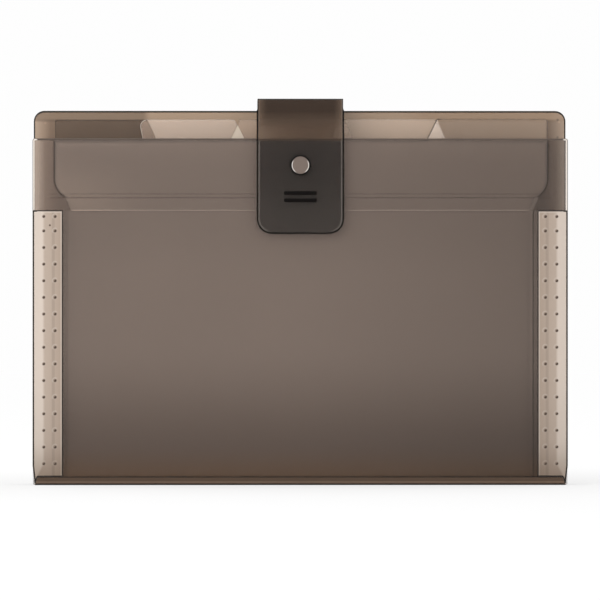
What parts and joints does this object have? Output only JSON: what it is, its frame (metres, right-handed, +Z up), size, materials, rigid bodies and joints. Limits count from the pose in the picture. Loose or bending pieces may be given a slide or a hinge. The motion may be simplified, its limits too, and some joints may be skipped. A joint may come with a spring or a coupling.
{
  "type": "expanding file",
  "caption": "Upright expanding file for papers, with smoke covers, pleated side gussets, tabbed dividers and a fold-over strap that closes with a snap.",
  "frame": {"origin": "centre of the file's footprint, on the surface that it stands on", "axes": "+X along the width, to the right seen from the front; +Y from the front cover to the back cover; +Z up"},
  "size_m": [0.3306, 0.0352, 0.2387],
  "materials": {
    "smoke_cover": "translucent smoke brown film sheet with a fine satin grain",
    "smoke_strap": "thick dark smoke strap, satin, nearly opaque",
    "gusset_film": "thin frosted film with a warm smoke tint",
    "flap_film": "frosted cream film, welded flat, soft sheen",
    "weld_spot": "small melted spots, darker than the film",
    "smoke_divider": "translucent dark smoke sheet",
    "frosted_divider": "translucent frosted sheet with a warm tint",
    "snap_metal": "satin nickel-plated press snap with a bright rolled rim"
  },
  "bodies": {
    "sheet_3": {"divider_3": "frosted_divider", "gusset_3": "gusset_film"},
    "sheet_2": {"divider_2": "frosted_divider", "gusset_2": "gusset_film"},
    "sheet_1": {"divider_1": "frosted_divider", "gusset_1": "gusset_film"},
    "front": {"front_cover": "smoke_cover", "front_flap_left": "flap_film", "front_flap_right": "flap_film", "front_hem": "smoke_cover", "front_welds_left": "weld_spot", "front_welds_right": "weld_spot", "snap_stud": "snap_metal", "snap_post": "snap_metal"},
    "sheet_4": {"divider_4": "frosted_divider", "gusset_4": "gusset_film"},
    "back": {"back_cover": "smoke_cover", "back_leaf": "smoke_divider", "gusset_5": "gusset_film", "back_flap_left": "flap_film", "back_flap_right": "flap_film", "back_hem": "smoke_cover", "back_welds_left": "weld_spot", "back_welds_right": "weld_spot", "strap_tail": "smoke_strap", "strap_welds": "smoke_strap"},
    "web": {"strap_web": "smoke_strap"},
    "tongue": {"strap_tongue": "smoke_strap", "snap_cap": "snap_metal", "snap_socket": "snap_metal"}
  },
  "joints": [
    {"name": "pocket_3", "type": "hinge", "parent": "sheet_3", "child": "sheet_2", "pos_m": [0, -0.001, 0.0053], "axis": [1, 0, 0], "range_deg": [0, 5], "deforming": ["gusset_3"]},
    {"name": "pocket_2", "type": "hinge", "parent": "sheet_2", "child": "sheet_1", "pos_m": [0, -0.0064, 0.0053], "axis": [1, 0, 0], "range_deg": [0, 5], "deforming": ["gusset_2"]},
    {"name": "pocket_1", "type": "hinge", "parent": "sheet_1", "child": "front", "pos_m": [0, -0.012, 0], "axis": [1, 0, 0], "range_deg": [0, 5], "deforming": ["gusset_1"]},
    {"name": "pocket_4", "type": "hinge", "parent": "sheet_3", "child": "sheet_4", "pos_m": [0, 0.0098, 0.0053], "axis": [-1, 0, 0], "range_deg": [0, 5], "deforming": ["gusset_4"]},
    {"name": "pocket_5", "type": "hinge", "parent": "sheet_4", "child": "back", "pos_m": [0, 0.0158, 0], "axis": [-1, 0, 0], "range_deg": [0, 5], "deforming": ["gusset_5"]},
    {"name": "strap_back_fold", "type": "hinge", "parent": "back", "child": "web", "pos_m": [0, 0.0168, 0.2381], "axis": [-1, 0, 0], "range_deg": [0, 200]},
    {"name": "strap_front_fold", "type": "hinge", "parent": "web", "child": "tongue", "pos_m": [0, -0.016, 0.2381], "axis": [-1, 0, 0], "range_deg": [0, 120]}
  ],
  "couplings": [
    {"joint": "pocket_1", "follows": "strap_back_fold", "ratio": 0.025},
    {"joint": "pocket_2", "follows": "strap_back_fold", "ratio": 0.025},
    {"joint": "pocket_3", "follows": "strap_back_fold", "ratio": 0.025},
    {"joint": "pocket_4", "follows": "strap_back_fold", "ratio": 0.025},
    {"joint": "pocket_5", "follows": "strap_back_fold", "ratio": 0.025}
  ]
}
